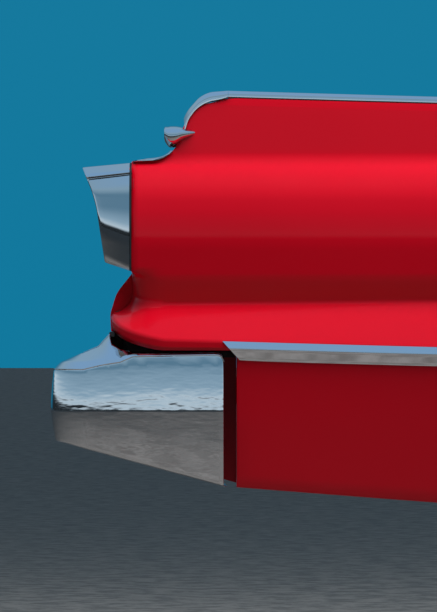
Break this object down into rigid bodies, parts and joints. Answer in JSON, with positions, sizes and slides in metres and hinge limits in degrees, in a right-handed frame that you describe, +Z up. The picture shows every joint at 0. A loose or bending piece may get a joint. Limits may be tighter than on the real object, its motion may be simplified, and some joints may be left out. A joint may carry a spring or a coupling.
{
  "type": "car rear wing",
  "caption": "Right-hand rear wing of a 1950s saloon, with fin, tail lamp, bright mouldings, wheel arch and chromed bumper end, bolted to the body's side.",
  "frame": {"origin": "middle of the four body bolts' rectangle, in the plane where the flanges meet the body", "axes": "+X forward along the car, +Y to the car's left, towards the body, +Z up"},
  "size_m": [1.896, 0.2849, 0.8172],
  "materials": {
    "body_paint": "deep gloss",
    "inner_paint": "satin, thin coat",
    "underseal": "matt, rough",
    "bright_trim": "polished",
    "bumper_chrome": "polished",
    "lamp_rubber": "matt",
    "lamp_glass": "ribbed red",
    "bucket_paint": "silver",
    "holder_brass": "satin",
    "carrier_paint": "semi-gloss black",
    "striker_steel": "satin"
  },
  "bodies": {
    "root": {"wing_skin": "body_paint", "fin_inner": "body_paint", "deck_gutter": "body_paint", "tail_panel": "body_paint", "tail_post": "inner_paint", "lock_pillar": "inner_paint", "inner_rail": "inner_paint", "gravel_pan": "body_paint", "wheelhouse": "underseal", "striker_plate": "striker_steel", "lamp_bezel": "bright_trim", "lamp_gasket": "lamp_rubber", "lamp_lens": "lamp_glass", "lamp_bucket": "bucket_paint", "bulb_socket_upper": "holder_brass", "bulb_socket_lower": "holder_brass", "fin_bullet": "bright_trim", "crown_moulding_front": "bright_trim", "crown_moulding_tail": "bright_trim", "crown_moulding_lower": "bright_trim", "spear_moulding": "bright_trim", "bumper_end": "bumper_chrome", "bumper_back_bar": "carrier_paint", "bumper_arm": "carrier_paint", "bumper_side_brace": "carrier_paint"}
  },
  "joints": []
}
